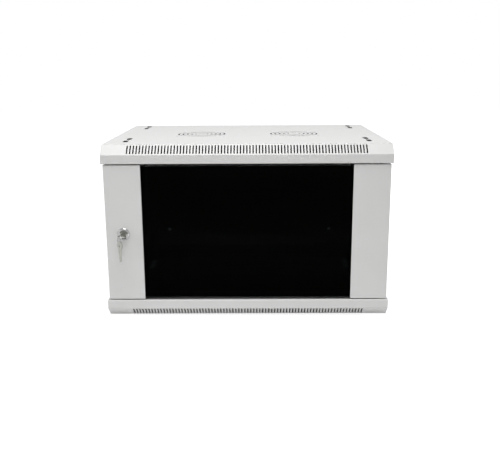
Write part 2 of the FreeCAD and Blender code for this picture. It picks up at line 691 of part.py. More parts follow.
def depth_bracket(z):
    """Slotted channel from the post to the rear panel, which the rail slides along."""
    front, back = POST_BACK_Y, -REAR_SHEET
    low, high = z - BRACKET_HEIGHT / 2, z + BRACKET_HEIGHT / 2
    outer = BRACKET_X + BRACKET_FLANGE
    channel = box(BRACKET_X, outer, front, back, low, high)
    channel = channel.cut(box(BRACKET_X + BRACKET_SHEET, outer, front + BRACKET_SHEET, back - BRACKET_SHEET,
                              low + BRACKET_SHEET, high - BRACKET_SHEET))
    length = back - front - 2 * BRACKET_SLOT_END
    middle = V(BRACKET_X + BRACKET_SHEET / 2, (front + back) / 2, z)
    cutters = [slot(BRACKET_SLOT, length, middle, Y_DIR, X_DIR * (BRACKET_SHEET * 2))]
    for y in (front, back):
        place = V(bracket_screw_x(), y, z)
        cutters.append(screw_hole(place.sub(Y_DIR * (BRACKET_SHEET + OVERCUT)),
                                  place.add(Y_DIR * (BRACKET_SHEET + OVERCUT)), SCREW_RADIUS))
    return channel.cut(cutters)


def bracket_screws():
    """Screws that hold each bracket's end tabs to the post and the rear panel."""
    screws = []
    for s in (-1, 1):
        for z in (-BRACKET_Z, BRACKET_Z):
            front = V(s * bracket_screw_x(), POST_BACK_Y - POST_SHEET, z)
            screws.append(screw(front, Y_DIR, POST_SHEET + BRACKET_SHEET + SCREW_BEYOND))
            rear = V(s * bracket_screw_x(), -REAR_SHEET - BRACKET_SHEET, z)
            screws.append(screw(rear, Y_DIR, REAR_SHEET + BRACKET_SHEET - SCREW_SHORT))
    return screws


def cover_screws():
    """Screws through the covers' lips into the posts and the rear panel."""
    screws = []
    for place in rear_screw_places() + post_screw_places():
        for s in (-1, 1):
            seat = V(place.x, place.y, s * (LIP_Z + COVER_SHEET))
            screws.append(screw(seat, Z_DIR * -s, COVER_SHEET + POST_SHEET + SCREW_BEYOND))
    return screws


def rack_rail():
    """Folded rail with square holes at the 19 inch pitch."""
    web = RAIL_WEB_X
    back = RAIL_Y + RAIL_DEEP
    low = -RAIL_HEIGHT / 2
    points = [
        V(RAIL_X, RAIL_Y, low), V(web, RAIL_Y, low), V(web, back, low), V(web - RAIL_RETURN, back, low),
        V(web - RAIL_RETURN, back - RAIL_SHEET, low), V(web - RAIL_SHEET, back - RAIL_SHEET, low),
        V(web - RAIL_SHEET, RAIL_Y + RAIL_SHEET, low), V(RAIL_X, RAIL_Y + RAIL_SHEET, low),
    ]
    rail = profile(points, [0, BEND_RADIUS, BEND_RADIUS], Z_DIR, RAIL_HEIGHT)
    cutters = []
    x = RACK_HOLE_SPACING / 2
    bottom = -RACK_UNITS * RACK_UNIT_HEIGHT / 2
    half = RACK_HOLE / 2
    for unit in range(RACK_UNITS):
        for offset in RACK_HOLE_OFFSETS:
            z = bottom + unit * RACK_UNIT_HEIGHT + offset
            cutters.append(box(x - half, x + half, RAIL_Y - OVERCUT, RAIL_Y + RAIL_SHEET + OVERCUT,
                               z - half, z + half))
    for z in (-BRACKET_Z, BRACKET_Z):
        place = V(web, RAIL_SCREW_Y, z)
        cutters.append(screw_hole(place.sub(X_DIR * (RAIL_SHEET * 2)), place.add(X_DIR * OVERCUT),
                                  RAIL_SCREW_RADIUS))
    return rail.cut(cutters)


def rail_screws():
    reach = RAIL_SHEET + RUN_GAP + BRACKET_SHEET + RUN_GAP + RAIL_NUT_THICK + RAIL_SCREW_BEYOND
    return [screw(V(RAIL_WEB_X - RAIL_SHEET, RAIL_SCREW_Y, z), X_DIR, reach, RAIL_SCREW_RADIUS,
                  RAIL_SCREW_HEAD_RADIUS, RAIL_SCREW_HEAD) for z in (-BRACKET_Z, BRACKET_Z)]


def rail_nuts():
    seat = BRACKET_X + BRACKET_SHEET + RUN_GAP
    return [nut(RAIL_NUT_FLATS, RAIL_SCREW_RADIUS, V(seat, RAIL_SCREW_Y, z),
                V(seat + RAIL_NUT_THICK, RAIL_SCREW_Y, z)) for z in (-BRACKET_Z, BRACKET_Z)]


# ---- side panels and latches ----
def side_panel():
    """Tray with inward flanges, two tongues at its foot and a latch hole."""
    front, back = POST_Y, PANEL_REAR_Y
    inner = PANEL_X - PANEL_FLANGE
    panel = box(inner, PANEL_X, front, back, PANEL_FOOT_Z, PANEL_TOP_Z)
    panel = panel.cut(box(inner - OVERCUT, PANEL_X - PANEL_SHEET, front + PANEL_SHEET, back - PANEL_SHEET,
                          PANEL_FOOT_Z + PANEL_SHEET, PANEL_TOP_Z - PANEL_SHEET))
    middle = (front + back) / 2
    for y in (middle - PANEL_TONGUE_SPACING / 2, middle + PANEL_TONGUE_SPACING / 2):
        tongue = box(TONGUE_X - PANEL_SHEET, TONGUE_X, y - PANEL_TONGUE / 2, y + PANEL_TONGUE / 2,
                     PANEL_FOOT_Z - PANEL_TONGUE_DROP, PANEL_FOOT_Z + PANEL_SHEET)
        panel = panel.fuse(tongue)
    hole = rod(LATCH_SHAFT_RADIUS + PIN_CLEAR, latch_line(PANEL_X - PANEL_SHEET - OVERCUT),
               latch_line(PANEL_X + OVERCUT))
    return panel.removeSplitter().cut(hole)


def latch_line(x):
    return V(x, (POST_Y + PANEL_REAR_Y) / 2, LATCH_Z)


def side_latch_housing():
    start, end = latch_line(PANEL_X - PANEL_SHEET), latch_line(CAM_X + RUN_GAP)
    return bar(16, LATCH_HOUSING_RADIUS, start, end).cut(rod(LATCH_SHAFT_RADIUS + PIN_CLEAR, start, end))


def side_latch_knob():
    """Flush head with a coin slot, and the shaft behind it."""
    seat = PANEL_X + RUN_GAP / 2
    head = bar(24, LATCH_HEAD_RADIUS, latch_line(seat), latch_line(seat + LATCH_HEAD))
    shaft = rod(LATCH_SHAFT_RADIUS, latch_line(CAM_X), latch_line(PANEL_X + RUN_GAP))
    knob = head.fuse(shaft).removeSplitter()
    axis = latch_line(PANEL_X)
    half = LATCH_COIN_SLOT / 2
    groove = box(seat + LATCH_HEAD - LATCH_COIN_DEPTH, SIDE_X + OVERCUT, axis.y - LATCH_HEAD_RADIUS,
                 axis.y + LATCH_HEAD_RADIUS, axis.z - half, axis.z + half)
    bore = screw_hole(latch_line(CAM_X - OVERCUT), latch_line(CAM_X + LATCH_BORE), SCREW_RADIUS)
    return knob.cut([groove, bore])


def side_latch_cam():
    """Cam in its open position, pointing back; a quarter turn lifts it behind the top lip."""
    inner = CAM_X - LATCH_CAM_SHEET
    axis = latch_line(inner)
    half = LATCH_CAM_WIDTH / 2
    arm = box(inner, CAM_X, axis.y, axis.y + LATCH_CAM_REACH, axis.z - half, axis.z + half)
    arm = arm.fuse(bar(16, half, latch_line(inner), latch_line(CAM_X))).removeSplitter()
    return arm.cut(screw_hole(latch_line(inner - OVERCUT), latch_line(CAM_X + OVERCUT), SCREW_RADIUS))


def side_latch_screw():
    return screw(latch_line(CAM_X - LATCH_CAM_SHEET), X_DIR, LATCH_CAM_SHEET + LATCH_SCREW_SHANK,
                 SCREW_RADIUS, LATCH_SCREW_RADIUS)


# ---- door ----
def door_stile():
    """Folded stile with a hem at the glass, closed at its ends, with two weld studs."""
    points = [
        V(STILE_X, DOOR_FRONT_Y, -DOOR_Z), V(DOOR_X, DOOR_FRONT_Y, -DOOR_Z),
        V(DOOR_X, DOOR_BACK_Y, -DOOR_Z), V(DOOR_X - DOOR_FLANGE, DOOR_BACK_Y, -DOOR_Z),
        V(DOOR_X - DOOR_FLANGE, DOOR_BACK_Y - DOOR_SHEET, -DOOR_Z),
        V(DOOR_X - DOOR_SHEET, DOOR_BACK_Y - DOOR_SHEET, -DOOR_Z),
        V(DOOR_X - DOOR_SHEET, DOOR_INNER_Y, -DOOR_Z), V(STILE_X + STILE_HEM, DOOR_INNER_Y, -DOOR_Z),
        V(STILE_X + STILE_HEM, GLASS_FRONT_Y, -DOOR_Z), V(STILE_X, GLASS_FRONT_Y, -DOOR_Z),
    ]
    bends = [HEM_BEND, BEND_RADIUS, BEND_RADIUS, 0, 0, 0, 0, 0, 0, HEM_BEND / 4]
    stile = profile(points, bends, Z_DIR, 2 * DOOR_Z)
    solids = []
    cutters = []
    for s in (-1, 1):
        solids.append(box(STILE_X + STILE_HEM, DOOR_X - DOOR_SHEET, DOOR_INNER_Y, DOOR_BACK_Y,
                          s * DOOR_Z, s * (DOOR_Z - DOOR_SHEET)))
        solids.append(bar(8, STUD_RADIUS, V(STUD_X, DOOR_INNER_Y - STUD_ROOT, s * CLAMP_Z),
                          V(STUD_X, DOOR_INNER_Y + STUD_LENGTH, s * CLAMP_Z)))
        place = V(HINGE_X, HINGE_Y, s * DOOR_Z)
        up = V(0, 0, DOOR_SHEET * 2)
        cutters.append(bar(16, BUSH_RADIUS, place.sub(up), place.add(up)))
    return stile.fuse(solids).removeSplitter().cut(cutters)


def door_stile_left():
    hole = rod(LOCK_BARREL_RADIUS + PIN_CLEAR, lock_line(DOOR_FRONT_Y - OVERCUT),
               lock_line(DOOR_INNER_Y + OVERCUT))
    return mirrored(door_stile()).cut(hole)


def door_glass():
    glass = box(-GLASS_X, GLASS_X, GLASS_FRONT_Y, GLASS_BACK_Y, -GLASS_Z, GLASS_Z)
    edges = [e for e in glass.Edges if e.Length > GLASS_Z and abs(e.tangentAt(0).y) < 0.5]
    return glass.makeChamfer(GLASS_ARRIS, edges)


def glass_tape():
    return box(GLASS_X - TAPE_WIDTH, GLASS_X, DOOR_INNER_Y, GLASS_FRONT_Y, -GLASS_Z, GLASS_Z)


def glass_clamp(z):
    """Step-shaped clip: its foot on the stile, its toe over the glass."""
    toe_front = GLASS_BACK_Y + CLAMP_PAD
    toe_back = toe_front + CLAMP_SHEET
    low = z - CLAMP_HEIGHT / 2
    points = [
        V(CLAMP_X, DOOR_INNER_Y, low), V(CLAMP_X + CLAMP_FOOT, DOOR_INNER_Y, low),
        V(CLAMP_X + CLAMP_FOOT, DOOR_INNER_Y + CLAMP_SHEET, low),
        V(CLAMP_X + CLAMP_SHEET, DOOR_INNER_Y + CLAMP_SHEET, low), V(CLAMP_X + CLAMP_SHEET, toe_back, low),
        V(GLASS_X - CLAMP_OVERLAP, toe_back, low), V(GLASS_X - CLAMP_OVERLAP, toe_front, low),
        V(CLAMP_X, toe_front, low),
    ]
    clamp = profile(points, [], Z_DIR, CLAMP_HEIGHT)
    return clamp.cut(screw_hole(V(STUD_X, DOOR_INNER_Y - OVERCUT, z), V(STUD_X, toe_back, z),
                                STUD_RADIUS + PIN_CLEAR))


def clamp_pad(z):
    half = CLAMP_HEIGHT / 2 - CLAMP_PAD_MARGIN
    return box(GLASS_X - CLAMP_OVERLAP, GLASS_X, GLASS_BACK_Y, GLASS_BACK_Y + CLAMP_PAD, z - half, z + half)


def clamp_nut(z):
    seat = DOOR_INNER_Y + CLAMP_SHEET
    return nut(CLAMP_NUT_FLATS, STUD_RADIUS, V(STUD_X, seat, z), V(STUD_X, seat + CLAMP_NUT_THICK, z))


def all_corners(make):
    """One piece at each of the glass's four clamp places."""
    right = [make(z) for z in (-CLAMP_Z, CLAMP_Z)]
    return right + [mirrored(piece) for piece in right]


# ---- hinges ----
def hinge_line(z):
    return V(HINGE_X, HINGE_Y, z)


def bush(seat_z, way, sheet):
    """Flanged bush pressed into a sheet; way is the side its flange stands on."""
    sleeve = bar(16, BUSH_RADIUS, hinge_line(seat_z - way * sheet), hinge_line(seat_z))
    flange = bar(16, BUSH_RADIUS + BUSH_FLANGE, hinge_line(seat_z), hinge_line(seat_z + way * BUSH_HEAD))
    reach = sheet + BUSH_HEAD + OVERCUT
    bore = rod(HINGE_PIN_RADIUS + PIN_CLEAR, hinge_line(seat_z - reach), hinge_line(seat_z + reach))
    return sleeve.fuse(flange).removeSplitter().cut(bore)


def hinge_pin_upper():
    """Spring pin with a finger lever set across its lower end."""
    foot = PIN_TOP_Z - HINGE_PIN_LENGTH
    pin = rod(HINGE_PIN_RADIUS, hinge_line(foot), hinge_line(PIN_TOP_Z))
    start = hinge_line(foot + HINGE_PIN_RADIUS)
    lever = bar(8, HINGE_PIN_RADIUS, start, start.sub(X_DIR * HINGE_LEVER))
    low, high = hinge_line(CLIP_Z), hinge_line(CLIP_Z + CLIP_THICK)
    groove = bar(8, HINGE_PIN_RADIUS * 2, low, high).cut(bar(16, HINGE_PIN_RADIUS - CLIP_GROOVE, low, high))
    return pin.fuse(lever).removeSplitter().cut(groove)


def hinge_clip():
    """Snap ring that the spring pushes up."""
    low, high = hinge_line(CLIP_Z), hinge_line(CLIP_Z + CLIP_THICK)
    ring = bar(16, CLIP_RADIUS, low, high).cut(bar(16, HINGE_PIN_RADIUS - CLIP_GROOVE, low, high))
    half = CLIP_GAP / 2
    gap = box(HINGE_X - half, HINGE_X + half, HINGE_Y, HINGE_Y + CLIP_RADIUS + OVERCUT,
              CLIP_Z - OVERCUT, CLIP_Z + CLIP_THICK + OVERCUT)
    return ring.cut(gap)


def hinge_spring():
    """Compression spring between the ear and the clip, each turn of eight straight runs."""
    low = EAR_Z + HINGE_EAR_SHEET + SPRING_WIRE / 2
    climb = SPRING_LENGTH - SPRING_WIRE - RUN_GAP
    radius = SPRING_RADIUS - SPRING_WIRE / 2
    steps = SPRING_TURNS * 8
    points = []
    for i in range(steps + 1):
        turn = 2 * math.pi * i / 8
        points.append(V(HINGE_X + radius * math.cos(turn), HINGE_Y + radius * math.sin(turn),
                        low + climb * i / steps))
    half = SPRING_WIRE / 2
    away = V(math.cos(0), math.sin(0), 0)
    corners = [points[0].add(away * a).add(Z_DIR * b) for a, b in
               ((-half, -half), (half, -half), (half, half), (-half, half), (-half, -half))]
    section = Part.makePolygon(corners)
    return Part.makePolygon(points).makePipeShell([section], True, False, 1)


def hinge_bracket():
    """Angle inside the right stile; its ear guides the pin and carries the spring."""
    x0, x1 = HINGE_X - HINGE_EAR_WIDTH / 2, HINGE_X + HINGE_EAR_WIDTH / 2
    leg = box(x0, x1, DOOR_INNER_Y, DOOR_INNER_Y + HINGE_EAR_SHEET, EAR_Z, EAR_Z + SPRING_LENGTH)
    ear = box(x0, x1, DOOR_INNER_Y, HINGE_Y + HINGE_EAR_WIDTH / 2, EAR_Z, EAR_Z + HINGE_EAR_SHEET)
    hole = rod(HINGE_PIN_RADIUS + PIN_CLEAR, hinge_line(EAR_Z - OVERCUT),
               hinge_line(EAR_Z + HINGE_EAR_SHEET + OVERCUT))
    return leg.fuse(ear).removeSplitter().cut(hole)


def hinge_pin_lower():
    """Headed pin up through the bottom cover's lip."""
    seat = -LIP_Z - COVER_SHEET
    head = bar(16, BUSH_RADIUS + BUSH_FLANGE, hinge_line(seat - HINGE_HEAD), hinge_line(seat))
    neck = bar(16, BUSH_RADIUS, hinge_line(seat), hinge_line(-LIP_Z))
    pin = rod(HINGE_PIN_RADIUS, hinge_line(seat), hinge_line(seat + HINGE_LOWER_PIN))
    return head.fuse([neck, pin]).removeSplitter()


def hinge_washer():
    low, high = hinge_line(-LIP_Z), hinge_line(-DOOR_Z - BUSH_HEAD - RUN_GAP)
    return bar(16, WASHER_RADIUS, low, high).cut(rod(HINGE_PIN_RADIUS + PIN_CLEAR, low, high))


# ---- lock and keys ----
def lock_line(y):
    return V(LOCK_X, y, LOCK_Z)


def lock_body():
    """Collar with a bevelled rim, barrel, and the bore that the plug turns in."""
    face, rim = lock_line(LOCK_FACE_Y), lock_line(LOCK_FACE_Y + LOCK_COLLAR_BEVEL)
    seat, back = lock_line(DOOR_FRONT_Y), lock_line(LOCK_BACK_Y)
    collar = bar(32, LOCK_COLLAR_RADIUS, rim, seat)
    bevel = frustum(32, LOCK_COLLAR_RADIUS, LOCK_COLLAR_RADIUS - LOCK_COLLAR_BEVEL, rim, face)
    barrel = bar(32, LOCK_BARREL_RADIUS, rim, back)
    return collar.fuse([bevel, barrel]).removeSplitter().cut(rod(LOCK_PLUG_RADIUS + PIN_CLEAR, face, back))


def lock_nut():
    start, end = lock_line(DOOR_INNER_Y), lock_line(DOOR_INNER_Y + LOCK_NUT_THICK)
    bore = flat_bar(32, LOCK_BARREL_RADIUS + LOCK_NUT_CLEAR, start, end)
    return flat_bar(6, LOCK_NUT_FLATS / 2, start, end).cut(bore)


def cam_square(y0, y1):
    """Square tail of the plug, and the hole in the cam that sits on it."""
    half = LOCK_PLUG_RADIUS * 0.6
    return box(LOCK_X - half, LOCK_X + half, y0, y1, LOCK_Z - half, LOCK_Z + half)


def lock_plug():
    """Turning plug with a flat keyway, and a square tail for the cam."""
    plug = rod(LOCK_PLUG_RADIUS, lock_line(LOCK_FACE_Y + LOCK_PLUG_SINK), lock_line(CAM_Y))
    half_w = KEY_BLADE_WIDTH / 2 + KEY_PLAY
    half_t = KEY_THICK / 2 + KEY_PLAY
    keyway = box(LOCK_X - half_w, LOCK_X + half_w, LOCK_FACE_Y - OVERCUT,
                 KEY_SHOULDER_Y + KEY_BLADE + OVERCUT, LOCK_Z - half_t, LOCK_Z + half_t)
    bore = screw_hole(lock_line(CAM_Y - CAM_SCREW_BORE), lock_line(CAM_Y + CAM_SHEET + OVERCUT), SCREW_RADIUS)
    return plug.fuse(cam_square(CAM_Y, CAM_Y + CAM_SHEET)).removeSplitter().cut([keyway, bore])


def lock_cam():
    """Cam at rest, pointing down and clear of the post; a quarter turn hooks it behind."""
    half = CAM_WIDTH / 2
    arm = box(LOCK_X - half, LOCK_X + half, CAM_Y, CAM_Y + CAM_SHEET, LOCK_Z - CAM_REACH, LOCK_Z)
    arm = arm.fuse(bar(16, half, lock_line(CAM_Y), lock_line(CAM_Y + CAM_SHEET))).removeSplitter()
    return arm.cut(cam_square(CAM_Y - OVERCUT, CAM_Y + CAM_SHEET + OVERCUT))


def lock_cam_screw():
    return screw(lock_line(CAM_Y + CAM_SHEET), Y_DIR.negative(), CAM_SHEET + CAM_SCREW_SHANK, SCREW_RADIUS,
                 LOCK_PLUG_RADIUS, CAM_SCREW_HEAD)


def key_shape():
    """Key in the XY plane, bow centred on the origin, blade along +Y, cuts along one edge."""
    low, high = V(0, 0, -KEY_THICK / 2), V(0, 0, KEY_THICK / 2)
    shoulder = KEY_BOW_RADIUS + KEY_NECK - KEY_BOW_SINK
    bow = bar(32, KEY_BOW_RADIUS, low, high)
    neck = box(-KEY_NECK_WIDTH / 2, KEY_NECK_WIDTH / 2, 0, shoulder, low.z, high.z)
    half = KEY_BLADE_WIDTH / 2
    step = (KEY_BLADE - KEY_TIP - KEY_FIRST_CUT) / len(KEY_CUTS)
    edge = [V(-half, shoulder, low.z)]
    for i, depth in enumerate(KEY_CUTS):
        start = shoulder + KEY_FIRST_CUT + i * step
        edge += [V(-half, start, low.z), V(-half + depth, start + step * 0.35, low.z),
                 V(-half + depth, start + step * 0.65, low.z)]
    tip = shoulder + KEY_BLADE
    edge += [V(-half, tip - KEY_TIP, low.z), V(0, tip, low.z), V(half, tip - KEY_TIP, low.z),
             V(half, shoulder, low.z)]
    blade = Part.Face(Part.makePolygon(edge + [edge[0]])).extrude(V(0, 0, KEY_THICK))
    hole = flat_bar(24, KEY_HOLE_RADIUS, low.multiply(2), high.multiply(2))
    return bow.fuse([neck, blade]).removeSplitter().cut(hole)


def key():
    shape = key_shape()
    shape.translate(V(LOCK_X, KEY_BOW_Y, LOCK_Z))
    return shape


def key_ring():
    """Ring of flat wire in an upright plane, hung on the inserted key's bow."""
    half = RING_BREADTH / 2
    start, end = V(0, -half, 0), V(0, half, 0)
    ring = bar(32, RING_RADIUS + RING_WIRE / 2, start, end).cut(flat_bar(32, RING_INNER, start, end))
    ring.rotate(ORIGIN, Z_DIR, 90 - RING_TURN)
    ring.translate(V(RING_X, RING_Y, RING_Z))
    return ring


def spare_key():
    """Second key, hanging blade down from the ring and square to it."""
    shape = key_shape()
    shape.rotate(ORIGIN, X_DIR, -90)
    shape.rotate(ORIGIN, Z_DIR, -RING_TURN)
    shape.translate(V(RING_X, RING_Y, SPARE_Z))
    return shape


# ---- earth stud ----
def earth_line(rise):
    return V(EARTH_X, -EARTH_REAR, -TOP_Z + COVER_SHEET + rise)


def earth_stud():
    base = bar(16, EARTH_BASE_RADIUS, earth_line(0), earth_line(EARTH_BASE))
    return base.fuse(bar(12, EARTH_RADIUS, earth_line(0), earth_line(EARTH_LENGTH))).removeSplitter()


def earth_nut():
    start, end = earth_line(EARTH_BASE), earth_line(EARTH_BASE + EARTH_NUT_THICK)
    return flat_bar(6, EARTH_NUT_FLATS / 2, start, end).cut(flat_bar(12, EARTH_RADIUS, start, end))


# ---- write every piece ----
os.makedirs("parts", exist_ok=True)

save("top_cover", top_cover())
save("bottom_cover", bottom_cover())
save("rear_panel", rear_panel())
save("rear_entry_plate", rear_entry_plate())
save("floor_entry_plate", floor_entry_plate())
save("cable_entry_screws", entry_screws())
save("cover_screws", cover_screws())
save_pair("front_post", front_post())
save("door_bumpers", door_bumpers())
save_pair("depth_bracket_upper", depth_bracket(BRACKET_Z))
save_pair("depth_bracket_lower", depth_bracket(-BRACKET_Z))
save("bracket_screws", bracket_screws())
save_pair("rack_rail", rack_rail())
save_pair("rail_screws", rail_screws())
save_pair("rail_nuts", rail_nuts())
save_pair("side_panel", side_panel())
save_pair("side_latch_housing", side_latch_housing())
save_pair("side_latch_knob", side_latch_knob())
save_pair("side_latch_cam", side_latch_cam())
save_pair("side_latch_screw", side_latch_screw())
save("door_stile_right", door_stile())
save("door_stile_left", door_stile_left())
save("door_glass", door_glass())
save_pair("glass_tape", glass_tape())
save("glass_clamps", all_corners(glass_clamp))
save("glass_clamp_pads", all_corners(clamp_pad))
save("glass_clamp_nuts", all_corners(clamp_nut))
save("hinge_bush_upper", bush(LIP_Z + COVER_SHEET, 1, COVER_SHEET))
save("hinge_bush_door_top", bush(DOOR_Z - DOOR_SHEET, -1, DOOR_SHEET))
save("hinge_bush_door_bottom", bush(-DOOR_Z, -1, DOOR_SHEET))
save("hinge_bracket", hinge_bracket())
save("hinge_spring", hinge_spring())
save("hinge_clip", hinge_clip())
save("hinge_pin_upper", hinge_pin_upper())
save("hinge_pin_lower", hinge_pin_lower())
save("hinge_washer", hinge_washer())
save("lock_body", lock_body())
save("lock_nut", lock_nut())
save("lock_plug", lock_plug())
save("lock_cam", lock_cam())
save("lock_cam_screw", lock_cam_screw())
save("key", key())
save("key_ring", key_ring())
save("spare_key", spare_key())
save("earth_stud", earth_stud())
save("earth_nut", earth_nut())
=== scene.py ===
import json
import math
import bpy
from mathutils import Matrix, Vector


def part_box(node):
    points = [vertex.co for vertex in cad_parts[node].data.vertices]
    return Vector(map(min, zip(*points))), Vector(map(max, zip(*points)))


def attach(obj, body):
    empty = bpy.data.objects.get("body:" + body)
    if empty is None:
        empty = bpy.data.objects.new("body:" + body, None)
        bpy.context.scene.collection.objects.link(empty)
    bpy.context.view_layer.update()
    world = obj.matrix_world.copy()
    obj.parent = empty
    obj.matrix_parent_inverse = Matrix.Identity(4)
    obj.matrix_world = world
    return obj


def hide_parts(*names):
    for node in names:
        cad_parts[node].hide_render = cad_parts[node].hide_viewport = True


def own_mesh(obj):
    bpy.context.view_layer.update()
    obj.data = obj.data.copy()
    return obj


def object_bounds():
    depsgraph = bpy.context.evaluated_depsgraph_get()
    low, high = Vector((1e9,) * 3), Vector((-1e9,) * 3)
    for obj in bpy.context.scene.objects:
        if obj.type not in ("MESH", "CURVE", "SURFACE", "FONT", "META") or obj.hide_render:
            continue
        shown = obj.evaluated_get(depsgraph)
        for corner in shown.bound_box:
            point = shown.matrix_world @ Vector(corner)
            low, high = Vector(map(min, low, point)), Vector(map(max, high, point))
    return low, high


bl_info = {
    "name": "Wall mount network cabinet",
    "version": (1, 0, 0),
    "blender": (4, 5, 0),
    "location": "View3D > Sidebar > Cabinet",
    "description": "Finishes and fine pieces for a wall mount network cabinet on its packed frame",
    "category": "Object",
}

import bpy
import numpy as np
from bpy.props import FloatProperty, FloatVectorProperty, IntProperty, PointerProperty
from mathutils import Matrix, Vector

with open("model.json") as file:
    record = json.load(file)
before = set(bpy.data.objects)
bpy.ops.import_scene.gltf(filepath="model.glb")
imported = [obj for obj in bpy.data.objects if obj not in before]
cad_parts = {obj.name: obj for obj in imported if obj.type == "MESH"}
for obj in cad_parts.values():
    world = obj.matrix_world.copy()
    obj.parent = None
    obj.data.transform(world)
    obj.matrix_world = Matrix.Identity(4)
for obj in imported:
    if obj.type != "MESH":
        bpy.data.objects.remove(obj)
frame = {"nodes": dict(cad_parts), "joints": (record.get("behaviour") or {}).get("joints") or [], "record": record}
CAD_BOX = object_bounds()
FINISHES = {piece["node"]: piece["material_slot"] for piece in frame["record"]["subparts"]}
BODIES = {
    node: body
    for body, nodes in frame["record"]["behaviour"]["bodies"].items()
    for node in nodes
}
JOINTS = {joint["name"]: joint for joint in frame["joints"]}
MM = 0.001
NEAR = 0.01 * MM  # Places closer than this count as one.
UP = np.array((0.0, 0.0, 1.0))
WHITE = (1.0, 1.0, 1.0, 1.0)


def linear(code):
    """Opaque colour for a shader from an sRGB hex code such as "#D4D4D3"."""
    values = np.array([int(code[i:i + 2], 16) for i in (1, 3, 5)]) / 255
    bright = ((values + 0.055) / 1.055) ** 2.4
    return (*np.where(values <= 0.04045, values / 12.92, bright), 1.0)


def add(tree, kind, inputs=None, **settings):
    """Add a shader node with its settings.

    inputs maps a socket to a value or to the output that feeds it.
    """
    made = tree.nodes.new("ShaderNode" + kind)
    for name, value in settings.items():
        setattr(made, name, value)
    for socket, value in (inputs or {}).items():
        if isinstance(value, bpy.types.NodeSocket):
            tree.links.new(value, made.inputs[socket])
        else:
            made.inputs[socket].default_value = value
    return made


def shade(name, **constants):
    """Start a material: its tree, its main shader with constant sockets, and Object coordinates."""
    material = bpy.data.materials.new(name)
    material.use_nodes = True
    tree = material.node_tree
    tree.nodes.clear()
    sockets = {key.replace("_", " "): value for key, value in constants.items()}
    shader = add(tree, "BsdfPrincipled", sockets)
    add(tree, "OutputMaterial", {"Surface": shader.outputs[0]})
    place = add(tree, "TexCoord").outputs["Object"]
    return material, tree, shader, place


def clothe(tree, shader, cloud, low, high, marks, rough, height, normal=None):
    """Give a shader its colour, gloss and relief.

    Two close colours are mixed by the pattern cloud. The pattern marks drives the roughness,
    between the two values of rough, and a relief of the given height.
    """
    # Noise keeps near the middle of its range, so the middle is stretched over all of the gloss.
    colour = add(tree, "Mix", {0: cloud, 6: low, 7: high}, data_type="RGBA")
    gloss = add(tree, "MapRange", {
        "Value": marks, "From Min": 0.3, "From Max": 0.7,
        "To Min": rough[0], "To Max": rough[1]})
    relief = add(tree, "Bump", {"Height": marks, "Distance": height})
    if normal:
        tree.links.new(normal, relief.inputs["Normal"])
    tree.links.new(colour.outputs[2], shader.inputs["Base Color"])
    tree.links.new(gloss.outputs[0], shader.inputs["Roughness"])
    tree.links.new(relief.outputs[0], shader.inputs["Normal"])


# ---- finishes ----
def powder_coat(name):
    """Epoxy-polyester powder baked on folded steel sheet: a soft sheen with a fine ripple."""
    # A slow ripple breaks up the highlight; the grit on top keeps it from looking like wet paint.
    # The rounded edges catch a thin light line, as a film of paint over a bend does.
    cabinet = bpy.context.scene.cabinet
    low, high = tuple(cabinet.paint_patches), tuple(cabinet.paint_colour)
    peel_size = cabinet.peel_size
    grit_size, haze_size, patch_size = peel_size / 5, 9 * MM, 60 * MM
    peel_height, grit_height, haze_height = 0.02 * MM, 0.004 * MM, 0.001 * MM
    material, tree, shader, place = shade(name, IOR=1.5)
    patch = add(tree, "TexNoise", {"Vector": place, "Scale": 1 / patch_size}).outputs["Fac"]
    haze = add(tree, "TexNoise", {"Vector": place, "Scale": 1 / haze_size}).outputs["Fac"]
    edge = add(tree, "Bevel", {"Radius": 0.5 * MM}, samples=6).outputs[0]
    ripple = edge
    for size, height in ((peel_size, peel_height), (grit_size, grit_height)):
        bumps = add(tree, "TexNoise", {"Vector": place, "Scale": 1 / size, "Detail": 1.0})
        ripple = add(tree, "Bump", {
            "Height": bumps.outputs["Fac"], "Distance": height, "Normal": ripple}).outputs[0]
    clothe(tree, shader, patch, low, high, haze, rough=(0.38, 0.46), height=haze_height,
           normal=ripple)
    return material


def tinted_glass(name):
    """Grey body-tinted float glass, tempered: nearly black over a dark cabinet, faintly wavy."""
    # The tint is in the body, so a view through it stays dark. Its index is under the usual 1.52:
    # with that, the pale room's reflection washes over the pane, which on such a door stays near
    # black. The wave is the one that the rollers leave, drawn out along x.
    tint = tuple(bpy.context.scene.cabinet.glass_tint)
    wave_size, wave_height = 90 * MM, 0.01 * MM
    material, tree, shader, place = shade(
        name, IOR=1.05, Roughness=0.0, Transmission_Weight=1.0, Base_Color=tint)
    across = add(tree, "Mapping", {"Vector": place, "Scale": (0.2, 1.0, 1.0)}).outputs[0]
    wave = add(tree, "TexNoise", {"Vector": across, "Scale": 1 / wave_size, "Detail": 0.0})
    bend = add(tree, "Bump", {"Height": wave.outputs["Fac"], "Distance": wave_height}).outputs[0]
    tree.links.new(bend, shader.inputs["Normal"])
    return material


def plated(name, low, high, rough, scratch, stretch=(1.0, 1.0, 1.0), edge=0.2 * MM):
    """Plated metal: a slightly cloudy colour, marks of the size scratch, and soft edges."""
    cloud_size, mark_height = 4 * MM, 0.004 * MM
    material, tree, shader, place = shade(name, Metallic=1.0)
    along = add(tree, "Mapping", {"Vector": place, "Scale": stretch}).outputs[0]
    cloud = add(tree, "TexNoise", {"Vector": place, "Scale": 1 / cloud_size}).outputs["Fac"]
    marks = add(tree, "TexNoise", {"Vector": along, "Scale": 1 / scratch}).outputs["Fac"]
    rim = add(tree, "Bevel", {"Radius": edge}, samples=4).outputs[0]
    clothe(tree, shader, cloud, linear(low), linear(high), marks, rough, height=mark_height,
           normal=rim)
    return material


